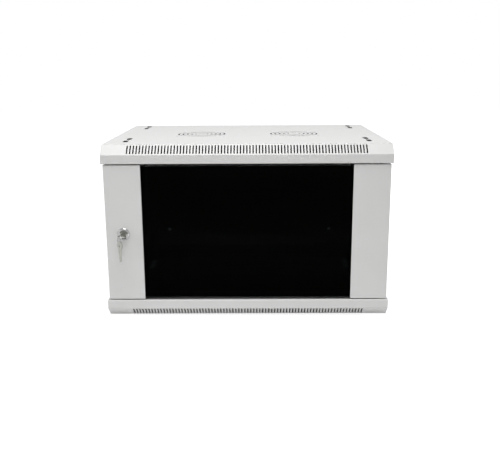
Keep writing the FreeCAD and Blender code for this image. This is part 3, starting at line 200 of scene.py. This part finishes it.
def chrome(name):
    """Bright chrome plate, buffed: a mirror with hair-fine wiping marks."""
    # Real wiping marks are far finer; at 0.3 mm they are as fine as can show. Its grey is under
    # that of fresh chrome, because a room that is white all round would turn the plate into a
    # white disc.
    return plated(name, "#979797", "#A2A2A2", rough=(0.05, 0.1), scratch=0.3 * MM)


def nickel(name):
    """Stamped brass under dull nickel plate: a warm, yellowish grey with short tumbling marks."""
    # Its grey is under that of bare nickel, so that in such a room the key still stands out from
    # the paint.
    return plated(name, "#8F8F89", "#9D9D97", rough=(0.22, 0.34), scratch=0.25 * MM)


def spring_steel(name):
    """Hard-drawn wire, oiled: darker grey, with the fine marks of the drawing die."""
    return plated(
        name, "#A9AAAB", "#BCBDBD", rough=(0.18, 0.3), scratch=0.2 * MM, edge=0.05 * MM)


def zinc_plate(name):
    """Zinc plate with clear passivation over sheet steel: pale blue-grey and a little cloudy."""
    return plated(name, "#B4B8BB", "#C3C5C3", rough=(0.28, 0.42), scratch=0.5 * MM)


def zinc_casting(name):
    """Die-cast zinc as it leaves the mould: dull and slightly rough."""
    return plated(name, "#9B9DA0", "#A8AAAC", rough=(0.42, 0.55), scratch=0.4 * MM)


def brass(name):
    """Turned brass: warm yellow with fine tool lines round its upright axis."""
    return plated(name, "#C9A458", "#D3B26A", rough=(0.22, 0.32), scratch=0.15 * MM,
                  stretch=(0.1, 0.1, 1.0))


def moulded(name, low, high, rough, grain, depth, **constants):
    """Moulded plastic or rubber: two close colours and a skin with bumps of the size grain."""
    material, tree, shader, place = shade(name, **constants)
    skin = add(tree, "TexNoise", {"Vector": place, "Scale": 1 / grain}).outputs["Fac"]
    clothe(tree, shader, skin, linear(low), linear(high), skin, rough, height=depth)
    return material


def foam_tape(name):
    """Closed-cell polyethylene foam tape: matt black with open cells at its cut edge."""
    return moulded(name, "#141414", "#222222", rough=(0.85, 0.95), grain=0.5 * MM,
                   depth=0.05 * MM, IOR=1.5)


def rubber(name):
    """Moulded nitrile rubber: black, matt, with a fine bloom."""
    return moulded(name, "#161616", "#1F1F20", rough=(0.6, 0.72), grain=0.3 * MM,
                   depth=0.01 * MM, IOR=1.52)


def nylon(name):
    """Moulded natural nylon 6: milky off-white that light enters a little way."""
    return moulded(name, "#DAD7CB", "#E2DFD4", rough=(0.38, 0.48), grain=0.8 * MM,
                   depth=0.005 * MM, IOR=1.53, Subsurface_Weight=0.15,
                   Subsurface_Scale=1.0 * MM)


FINISH_MAKERS = {
    "grey_powder_coat": ("powder coat, light grey", powder_coat),
    "tinted_glass": ("tinted float glass", tinted_glass),
    "foam_tape": ("black foam tape", foam_tape),
    "black_rubber": ("black nitrile rubber, moulded", rubber),
    "nylon": ("natural nylon, moulded", nylon),
    "chrome": ("chrome plate, buffed", chrome),
    "nickel": ("dull nickel plate on stamped brass", nickel),
    "spring_steel": ("drawn spring steel", spring_steel),
    "zinc_casting": ("zinc die casting", zinc_casting),
    "brass": ("turned brass", brass),
    "zinc_plated_steel": ("zinc plate, clear passivated", zinc_plate),
}


def finish(slot):
    """The finish of a slot in the record, made the first time that it is asked for."""
    name, make = FINISH_MAKERS[slot]
    return bpy.data.materials.get(name) or make(name)


def coat(*slots):
    """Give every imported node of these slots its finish."""
    for name, slot in FINISHES.items():
        if slot in slots:
            for place in frame["nodes"][name].material_slots:
                place.material = finish(slot)


# ---- surfaces ----
def surface(name, points, slot, body, ring=False):
    """Closed mesh from a grid of points, rows by columns, or from a stack of such grids.

    The last column joins the first. With ring the last row joins the first as well; without it the
    first and last rows are capped. The faces point outwards: where the volume that they enclose
    comes out negative, they are turned round.
    """
    points = points.reshape(-1, *points.shape[-3:])
    index = np.arange(points.size // 3).reshape(points.shape[:3])
    caps = np.concatenate([index[:, 0, ::-1], index[:, -1]])
    if ring:
        caps = caps[:0]
        index = np.concatenate([index, index[:, :1]], axis=1)
    index = np.concatenate([index, index[:, :, :1]], axis=2)
    corners = [index[:, :-1, :-1], index[:, :-1, 1:], index[:, 1:, 1:], index[:, 1:, :-1]]
    quads = np.stack(corners, axis=-1).reshape(-1, 4)
    local = (points - points.mean(axis=(1, 2), keepdims=True)).reshape(-1, 3)
    a, b, c, d = (local[quads[:, i]] for i in range(4))
    if np.sum(a * (np.cross(b, c) + np.cross(c, d))) < 0:
        quads, caps = quads[:, ::-1], caps[:, ::-1]
    mesh = bpy.data.meshes.new(name)
    mesh.from_pydata(points.reshape(-1, 3).tolist(), [], quads.tolist() + caps.tolist())
    mesh.update()
    mesh.shade_smooth()
    mesh.set_sharp_from_angle(angle=math.radians(40))
    piece = bpy.data.objects.new(name, mesh)
    bpy.context.collection.objects.link(piece)
    mesh.materials.append(finish(slot))
    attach(piece, body)
    return piece


def node_points(node):
    """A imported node's corners as an array, and its triangles as rows of three indices into them."""
    mesh = frame["nodes"][node].data
    mesh.calc_loop_triangles()
    points = np.empty(len(mesh.vertices) * 3)
    mesh.vertices.foreach_get("co", points)
    triangles = np.empty(len(mesh.loop_triangles) * 3, dtype=int)
    mesh.loop_triangles.foreach_get("vertices", triangles)
    return points.reshape(-1, 3), triangles.reshape(-1, 3)


def even_turn(count):
    """Angles of one turn in even steps, without the end that is the start again."""
    return np.linspace(0, 2 * np.pi, count, endpoint=False)


def outline(width, height, count, power):
    """Closed outline round an even turn: half the width and height times cos and sin to a power.

    A power of 1 gives an ellipse, and one half gives a bar with rounded edges.
    """
    waves = np.stack([np.cos(even_turn(count)), np.sin(even_turn(count))], axis=-1)
    return np.sign(waves) * np.abs(waves) ** power * (width / 2, height / 2)


def section_along(path, across, up, section):
    """Section carried along a path: each point is path + across * section x + up * section y."""
    return (path[:, None] + across[:, None] * section[None, :, :1]
            + up[:, None] * section[None, :, 1:])


# ---- settings ----
class CabinetSettings(bpy.types.PropertyGroup):
    """Colours of the paint and glass, sizes of the fine pieces, and the lights and floor."""

    paint_colour: FloatVectorProperty(
        name="Paint", description="Colour of the powder coat", subtype="COLOR", size=4,
        default=linear("#D6D6D5"), min=0.0, max=1.0)
    paint_patches: FloatVectorProperty(
        name="Paint patches", description="Slightly darker colour of its slow patches",
        subtype="COLOR", size=4, default=linear("#D2D2D1"), min=0.0, max=1.0)
    peel_size: FloatProperty(
        name="Orange peel", description="Width of one ripple in the powder coat",
        default=1.6 * MM, min=0.2 * MM, unit="LENGTH")
    glass_tint: FloatVectorProperty(
        name="Glass tint", description="Colour that the glass lets through", subtype="COLOR",
        size=4, default=linear("#17191A"), min=0.0, max=1.0)
    ring_wire: FloatProperty(
        name="Ring wire", description="Thickness of one turn of the split key ring",
        default=0.85 * MM, min=0.2 * MM, unit="LENGTH")
    spring_wire: FloatProperty(
        name="Spring wire", description="Diameter of the hinge spring's wire",
        default=1.0 * MM, min=0.2 * MM, unit="LENGTH")
    spring_turns: IntProperty(
        name="Spring turns", description="Working turns of the hinge spring", default=6, min=2)
    recess_width: FloatProperty(
        name="Recess width", description="Width of a screw's cross recess, as a share of its head",
        default=0.16, min=0.05, max=0.4, subtype="FACTOR")
    thread_pitch: FloatProperty(
        name="Lock thread", description="Pitch of the thread on the lock's barrel",
        default=1.5 * MM, min=0.5 * MM, unit="LENGTH")
    overhead_light: FloatProperty(
        name="Overhead light", description="Power of the soft light above",
        default=28.5, min=0.0, unit="POWER")
    left_light: FloatProperty(
        name="Left light", description="Power of the soft light far to the left",
        default=10.8, min=0.0, unit="POWER")
    rear_light: FloatProperty(
        name="Rear light", description="Power of the soft light behind, far to the right",
        default=38.0, min=0.0, unit="POWER")
    low_light: FloatProperty(
        name="Low light", description="Power of the strip that lifts the lower cover",
        default=1.5, min=0.0, unit="POWER")
    room_light: FloatProperty(
        name="Room light", description="Strength of the pale room all round",
        default=0.25, min=0.0)
    floor_colour: FloatVectorProperty(
        name="Floor", description="Colour of the floor", subtype="COLOR", size=4,
        default=linear("#D8D8D8"), min=0.0, max=1.0)


# ---- pieces ----
class CABINET_OT_sheet_metal(bpy.types.Operator):
    """Powder-coat the covers, panels, posts and door stiles"""

    bl_idname = "cabinet.sheet_metal"
    bl_label = "Powder-coated sheet metal"

    def execute(self, context):
        coat("grey_powder_coat")
        return {"FINISHED"}


class CABINET_OT_glazing(bpy.types.Operator):
    """Finish the glass with its tape, pads, bumpers and nylon bushes"""

    bl_idname = "cabinet.glazing"
    bl_label = "Glass, tape and rubber"

    def execute(self, context):
        coat("tinted_glass", "foam_tape", "black_rubber", "nylon")
        return {"FINISHED"}


class CABINET_OT_hardware(bpy.types.Operator):
    """Finish the lock, keys, rails, brackets, screws, nuts and earth stud"""

    bl_idname = "cabinet.hardware"
    bl_label = "Plated and cast metal"

    def execute(self, context):
        coat("chrome", "nickel", "spring_steel", "zinc_casting", "brass", "zinc_plated_steel")
        return {"FINISHED"}


class CABINET_OT_key_ring(bpy.types.Operator):
    """Wind the split key ring"""

    bl_idname = "cabinet.key_ring"
    bl_label = "Split key ring"

    def execute(self, context):
        low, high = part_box("key_ring")
        centre = np.array((low + high) / 2)
        axis = np.array(JOINTS["ring_swing"]["axis"])
        piece = split_ring(centre, axis, (high.z - low.z) / 2, context.scene.cabinet.ring_wire)
        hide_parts("key_ring")
        return {"FINISHED"}


def split_ring(centre, axis, outer, wire):
    """Two turns of flat wire side by side.

    The angle runs over two turns. Round the ring the middle of the wire is centre plus the radius
    times (cos, sin) of the angle; along the ring's axis it stays in the first groove, crosses over
    in a smooth step half a turn wide where the turns pass each other, and ends in the second
    groove. The section is a bar with rounded edges.
    """
    steps = 192
    step_from, step_over = 0.75, 0.5  # in turns
    thick, deep, inset = wire * 0.98, wire * 1.35, wire * 0.7
    turn = np.linspace(0, 4 * np.pi, steps + 1)
    step = np.clip((turn / (2 * np.pi) - step_from) / step_over, 0, 1)
    shift = (step * step * (3 - 2 * step) - 0.5) * wire
    spoke = np.cos(turn)[:, None] * UP + np.sin(turn)[:, None] * np.cross(axis, UP)
    path = centre + spoke * (outer - inset) + shift[:, None] * axis
    across = np.broadcast_to(axis, path.shape)
    points = section_along(path, across, spoke, outline(thick, deep, count=16, power=0.5))
    return surface("split_key_ring", points, "spring_steel", "key_ring")


class CABINET_OT_hinge_spring(bpy.types.Operator):
    """Coil the spring of the upper hinge pin"""

    bl_idname = "cabinet.hinge_spring"
    bl_label = "Hinge spring"

    def execute(self, context):
        cabinet = context.scene.cabinet
        low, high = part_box("hinge_spring")
        piece = coil(low, high, cabinet.spring_wire, cabinet.spring_turns)
        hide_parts("hinge_spring")
        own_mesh(piece)
        return {"FINISHED"}


def coil(low, high, wire, turns):
    """Compression spring with closed ends.

    The angle runs over the working turns and one dead turn at each end. The height is a smooth
    function of the angle that climbs by one wire thickness over each dead turn and evenly between
    them. A running mean rounds its bends.
    """
    steps, reach = 32, 8  # rows in a turn, and rows that the mean takes in on each side
    turn = np.linspace(0, turns + 2, (turns + 2) * steps + 1)
    rise = high.z - low.z - wire
    climb = np.interp(turn, (0, 1, turns + 1, turns + 2), (0, wire, rise - wire, rise))
    climb = np.pad(climb, reach, mode="reflect", reflect_type="odd")
    climb = np.convolve(climb, np.full(2 * reach + 1, 1 / (2 * reach + 1)), mode="valid")
    angle = turn * 2 * np.pi
    out = np.stack([np.cos(angle), np.sin(angle), np.zeros(len(turn))], axis=-1)
    middle = np.array(((low.x + high.x) / 2, (low.y + high.y) / 2, low.z + wire / 2))
    radius = (high.x - low.x) / 2 - wire / 2
    path = middle + out * radius + climb[:, None] * UP
    up = np.broadcast_to(UP, path.shape)
    points = section_along(path, out, up, outline(wire, wire, count=12, power=1.0))
    return surface("hinge_coil_spring", points, "spring_steel", "door")


class CABINET_OT_lock_barrel(bpy.types.Operator):
    """Turn the lock's collar and its threaded barrel"""

    bl_idname = "cabinet.lock_barrel"
    bl_label = "Lock collar and barrel"

    def execute(self, context):
        low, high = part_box("lock_body")
        middle = np.array(((low.x + high.x) / 2, 0.0, (low.z + high.z) / 2))
        points = node_points("lock_body")[0]
        radius = np.linalg.norm((points - middle)[:, [0, 2]], axis=1)
        edge = points[radius > radius.max() - NEAR][:, 1]
        piece = lock_barrel(
            middle, context.scene.cabinet.thread_pitch,
            bore=radius.min(), collar=radius.max(),
            face=radius[points[:, 1] < low.y + NEAR].max(),
            barrel=radius[points[:, 1] > high.y - NEAR].max(),
            front=low.y, rim=edge.min(), seat=edge.max(), nut=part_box("lock_nut")[1].y,
            back=high.y)
        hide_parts("lock_body")
        return {"FINISHED"}


def lock_barrel(middle, pitch, bore, collar, face, barrel, front, rim, seat, nut, back):
    """Collar, barrel and bore as one closed surface of revolution with a thread.

    bore, collar, face and barrel are radii; front, rim, seat, nut and back are heights along the
    axis. A closed profile of both is carried round the axis. Behind the nut the radius at a height
    and an angle is the root plus a ridge: a triangle wave of the height less one pitch for each
    turn of the angle, cut off flat at its crest, which fades out at both ends.
    """
    soft, softer = 0.25 * MM, 0.075 * MM  # how far an edge is rounded, and how far its middle
    depth, flat, fade_over, steps = 0.3 * MM, 0.8, pitch * 0.6, 8
    plain = np.array((
        (bore, back), (bore, front + soft), (bore + softer, front + softer), (bore + soft, front),
        (face - soft, front), (face, front + softer),
        (collar - soft, rim - soft * 0.8), (collar, rim + softer), (collar, seat - soft),
        (collar, seat), (barrel, seat), (barrel, nut)))
    turn = even_turn(count=96)
    height = np.linspace(nut, back, int((back - nut) / pitch * steps) + 1)
    phase = (height[:, None] / pitch - turn / (2 * np.pi)) % 1
    ridge = np.minimum(1 - np.abs(2 * phase - 1), flat) / flat
    fade = np.clip(np.minimum(height - nut, back - height) / fade_over, 0, 1)
    threaded = barrel - depth * fade[:, None] * (1 - ridge)
    radius = np.concatenate([np.repeat(plain[:, :1], len(turn), axis=1), threaded])
    along = np.concatenate([plain[:, 1], height])[:, None] + 0 * radius
    points = middle + np.stack([radius * np.cos(turn), along, radius * np.sin(turn)], axis=-1)
    return surface("lock_collar_and_barrel", points, "chrome", "door", ring=True)


class CABINET_OT_screws(bpy.types.Operator):
    """Turn the pan-head screws, each with its cross recess"""

    bl_idname = "cabinet.screws"
    bl_label = "Pan-head screws"

    def execute(self, context):
        width = context.scene.cabinet.recess_width
        for node, body in BODIES.items():
            if "screw" in node:
                places = [screw_place(points) for points in separate(*node_points(node))]
                tops, ways, sizes = (np.array(values) for values in zip(*places))
                points = pan_screws(tops, ways, sizes, width)
                piece = surface(node + "_turned", points, FINISHES[node], body)
                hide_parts(node)
        return {"FINISHED"}


def separate(points, triangles):
    """Corners of each closed piece in a mesh of loose triangles.

    Corners within a micrometre get one number; then each triangle gives all its corners its lowest
    number, over and over, until every piece has a number of its own.
    """
    points, same = np.unique(points.round(decimals=6), axis=0, return_inverse=True)
    triangles = same.reshape(-1)[triangles]
    number = np.arange(len(points))
    lowest = None
    while lowest is None or (number[triangles] != lowest[:, None]).any():
        lowest = number[triangles].min(axis=1)
        np.minimum.at(number, triangles, np.repeat(lowest[:, None], 3, axis=1))
    return [points[number == name] for name in np.unique(number)]


def screw_place(points):
    """Where a plain screw is: its head's top, the way to its tip, and its sizes.

    The sizes are the head's radius and height, the shank's radius and the whole length.
    """
    size = np.ptp(points, axis=0)
    unlike = abs(size[1] - size[2]), abs(size[2] - size[0]), abs(size[0] - size[1])
    axis = np.argmin(unlike)
    middle = (points.min(axis=0) + points.max(axis=0)) / 2
    along = (points - middle)[:, axis]
    spread = np.linalg.norm(np.delete(points - middle, axis, axis=1), axis=1)
    way = np.eye(3)[axis]
    end = along.max() - NEAR
    if spread[along > end].max() > spread[along < -end].max():
        along, way = -along, -way
    head = spread.max()
    seat = along[spread > head - NEAR].max()
    sizes = (head, seat - along.min(), spread[along > end].max(), size[axis])
    return middle - way * size[axis] / 2, way, sizes


def pan_screws(tops, ways, sizes, width):
    """Screws as one stack of grids.

    A profile of radii and depths below the top is carried round each screw's axis: in from the
    tip, up the shank, out under the head, and over it on a superellipse, where the depth at a
    radius is the head's height times 1 minus the fourth root of 1 minus the radius to the fourth.
    The cross recess adds to the depth where the nearer arm's middle is within half an arm's width
    and the point is within its reach.
    """
    # The tip is a share of the shank's radius; the recess goes down a share of the head's height
    # and out to a share of its radius, with slopes of a share of the arm and of the radius.
    tip, down, out, side_slope, end_slope = 0.7, 0.6, 0.6, 0.2, 0.08
    over = np.array(
        (1.0, 0.99, 0.95, 0.88, 0.78, 0.68, 0.62, 0.56, 0.48, 0.4, 0.32, 0.24, 0.16, 0.1, 0.05))
    head, height, shank, length = (sizes[:, i, None, None] for i in range(4))
    turn = even_turn(count=48)
    crown = (1 - (1 - over ** 4) ** 0.25)[:, None]
    stem = shank * np.array((tip, 1.0, 1.0))[:, None]
    radius = np.concatenate([stem, head * over[:, None]], axis=1)
    depth = np.concatenate([length, length - shank * (1 - tip), height, height * crown], axis=1)
    across, up = radius * np.cos(turn), radius * np.sin(turn)
    near = np.minimum(np.abs(across), np.abs(up))
    far = np.maximum(np.abs(across), np.abs(up))
    arm = head * 2 * width
    recess = np.clip((arm / 2 - near) / (arm * side_slope) + 1, 0, 1)
    recess = recess * np.clip((head * out - far) / (head * end_slope), 0, 1)
    recess[:, :stem.shape[1]] = 0
    depth = depth + recess * height * down
    side = np.roll(ways, 1, axis=1)
    other = np.cross(ways, side)
    return (tops[:, None, None] + ways[:, None, None] * depth[..., None]
            + side[:, None, None] * across[..., None] + other[:, None, None] * up[..., None])


# ---- stage ----
# Each lamp: its name, which setting holds its power, its place, what it looks at and its size.
LAMPS = (
    ("overhead", "overhead_light", (-0.1, -0.84, 1.87), (0.0, -0.35, 0.15), (1.2, 0.6)),
    ("left", "left_light", (-2.2, -1.6, 0.5), (0.0, -0.4, 0.0), (1.2, 1.6)),
    ("rear", "rear_light", (1.9, 1.7, 0.2), (0.2, -0.2, 0.0), (1.6, 1.0)),
    ("low", "low_light", (0.0, -1.15, -0.16), (0.0, -0.45, -0.16), (0.7, 0.06)),
)


class CABINET_OT_stage(bpy.types.Operator):
    """Set the floor, the lights, the pale room and the camera"""

    bl_idname = "cabinet.stage"
    bl_label = "Floor, lights and camera"

    def execute(self, context):
        cabinet = context.scene.cabinet
        floor(CAD_BOX[0][2], cabinet.floor_colour)
        for name, setting, place, target, size in LAMPS:
            lamp = soft_light(name, place, target, size, getattr(cabinet, setting))
            # The strip is so near that its mirror image would show in the chrome and the glass.
            lamp.visible_glossy = name != "low"
        room(cabinet.room_light)
        camera()
        return {"FINISHED"}


def floor(height, colour):
    """Wide pale floor just under the cabinet."""
    reach = 6.0
    plan = ((-reach, -reach), (reach, -reach), (reach, reach), (-reach, reach))
    mesh = bpy.data.meshes.new("floor")
    mesh.from_pydata([(x, y, height) for x, y in plan], [], [(0, 1, 2, 3)])
    ground = bpy.data.objects.new("floor", mesh)
    bpy.context.collection.objects.link(ground)
    material = bpy.data.materials.new("pale studio floor")
    material.use_nodes = True
    tree = material.node_tree
    tree.nodes.clear()
    # Near the cabinet the glow leaves room for its shadow; further out it makes up for the lamps'
    # light, which falls off with distance.
    place = add(tree, "TexCoord").outputs["Object"]
    away = add(tree, "VectorMath", {0: place}, operation="LENGTH").outputs["Value"]
    strength = add(tree, "MapRange", {
        "Value": away, "From Min": 0.5, "From Max": 2.5, "To Min": 0.74, "To Max": 1.0}).outputs[0]
    paint = add(tree, "BsdfDiffuse", {"Color": tuple(colour)}).outputs[0]
    glow = add(tree, "Emission", {"Color": WHITE, "Strength": strength}).outputs[0]
    seen = seen_directly(tree)
    lit = add(tree, "AddShader", {0: paint, 1: glow}).outputs[0]
    mixed = add(tree, "MixShader", {0: seen, 1: paint, 2: lit}).outputs[0]
    add(tree, "OutputMaterial", {"Surface": mixed})
    mesh.materials.append(material)


def seen_directly(tree):
    """1 for a camera, glossy or transmission ray, else 0."""
    path = add(tree, "LightPath").outputs
    both = add(tree, "Math", {0: path["Is Camera Ray"], 1: path["Is Glossy Ray"]},
               operation="MAXIMUM").outputs[0]
    return add(tree, "Math", {0: both, 1: path["Is Transmission Ray"]},
               operation="MAXIMUM").outputs[0]


def soft_light(name, place, target, size, power):
    """Rectangular soft light that looks at a target."""
    lamp = bpy.data.lights.new(name, "AREA")
    lamp.shape = "RECTANGLE"
    lamp.size, lamp.size_y = size
    lamp.energy = power
    light = bpy.data.objects.new(name, lamp)
    bpy.context.collection.objects.link(light)
    light.location = place
    light.rotation_euler = (Vector(target) - Vector(place)).to_track_quat("-Z", "Y").to_euler()
    return light


def room(strength):
    """White where it is seen directly, and an even fill of the given strength on the object."""
    world = bpy.data.worlds.new("pale room")
    bpy.context.scene.world = world
    world.use_nodes = True
    tree = world.node_tree
    tree.nodes.clear()
    fill = add(tree, "Background", {"Color": WHITE, "Strength": strength}).outputs[0]
    white = add(tree, "Background", {"Color": WHITE, "Strength": 1.0}).outputs[0]
    mixed = add(tree, "MixShader", {0: seen_directly(tree), 1: fill, 2: white}).outputs[0]
    add(tree, "OutputWorld", {"Surface": mixed})


def camera():
    """Camera in front and a little above, on a slightly long lens."""
    place = (0.01582, -1.8216, 0.3455)
    right = Vector((0.99996784, 0.00610017, -0.00520675))
    up = Vector((0.00364834, 0.23216104, 0.97267052))
    data = bpy.data.cameras.new("camera")
    data.lens = 48.7
    data.sensor_width = 36.0
    eye = bpy.data.objects.new("camera", data)
    bpy.context.collection.objects.link(eye)
    turn = Matrix((right, up, right.cross(up))).transposed().to_4x4()
    eye.matrix_world = Matrix.Translation(place) @ turn
    bpy.context.scene.camera = eye


# ---- panel and registration ----
class CABINET_PT_panel(bpy.types.Panel):
    """Pieces and settings of the network cabinet"""

    bl_idname = "CABINET_PT_panel"
    bl_label = "Network cabinet"
    bl_space_type = "VIEW_3D"
    bl_region_type = "UI"
    bl_category = "Cabinet"

    def draw(self, context):
        for operator in OPERATORS:
            self.layout.operator(operator.bl_idname)
        for name in CabinetSettings.__annotations__:
            self.layout.prop(context.scene.cabinet, name)


OPERATORS = (
    CABINET_OT_sheet_metal, CABINET_OT_glazing, CABINET_OT_hardware, CABINET_OT_key_ring,
    CABINET_OT_hinge_spring, CABINET_OT_lock_barrel, CABINET_OT_screws, CABINET_OT_stage)
CLASSES = (CabinetSettings, *OPERATORS, CABINET_PT_panel)


def register():
    for cls in CLASSES:
        bpy.utils.register_class(cls)
    bpy.types.Scene.cabinet = PointerProperty(type=CabinetSettings)


def unregister():
    del bpy.types.Scene.cabinet
    for cls in reversed(CLASSES):
        bpy.utils.unregister_class(cls)


def main():
    """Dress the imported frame."""
    register()
    bpy.context.scene.view_settings.view_transform = "Standard"
    bpy.ops.cabinet.sheet_metal()
    bpy.ops.cabinet.glazing()
    bpy.ops.cabinet.hardware()
    bpy.ops.cabinet.key_ring()
    bpy.ops.cabinet.hinge_spring()
    bpy.ops.cabinet.lock_barrel()
    bpy.ops.cabinet.screws()
    bpy.ops.cabinet.stage()


if __name__ == "__main__":
    main()
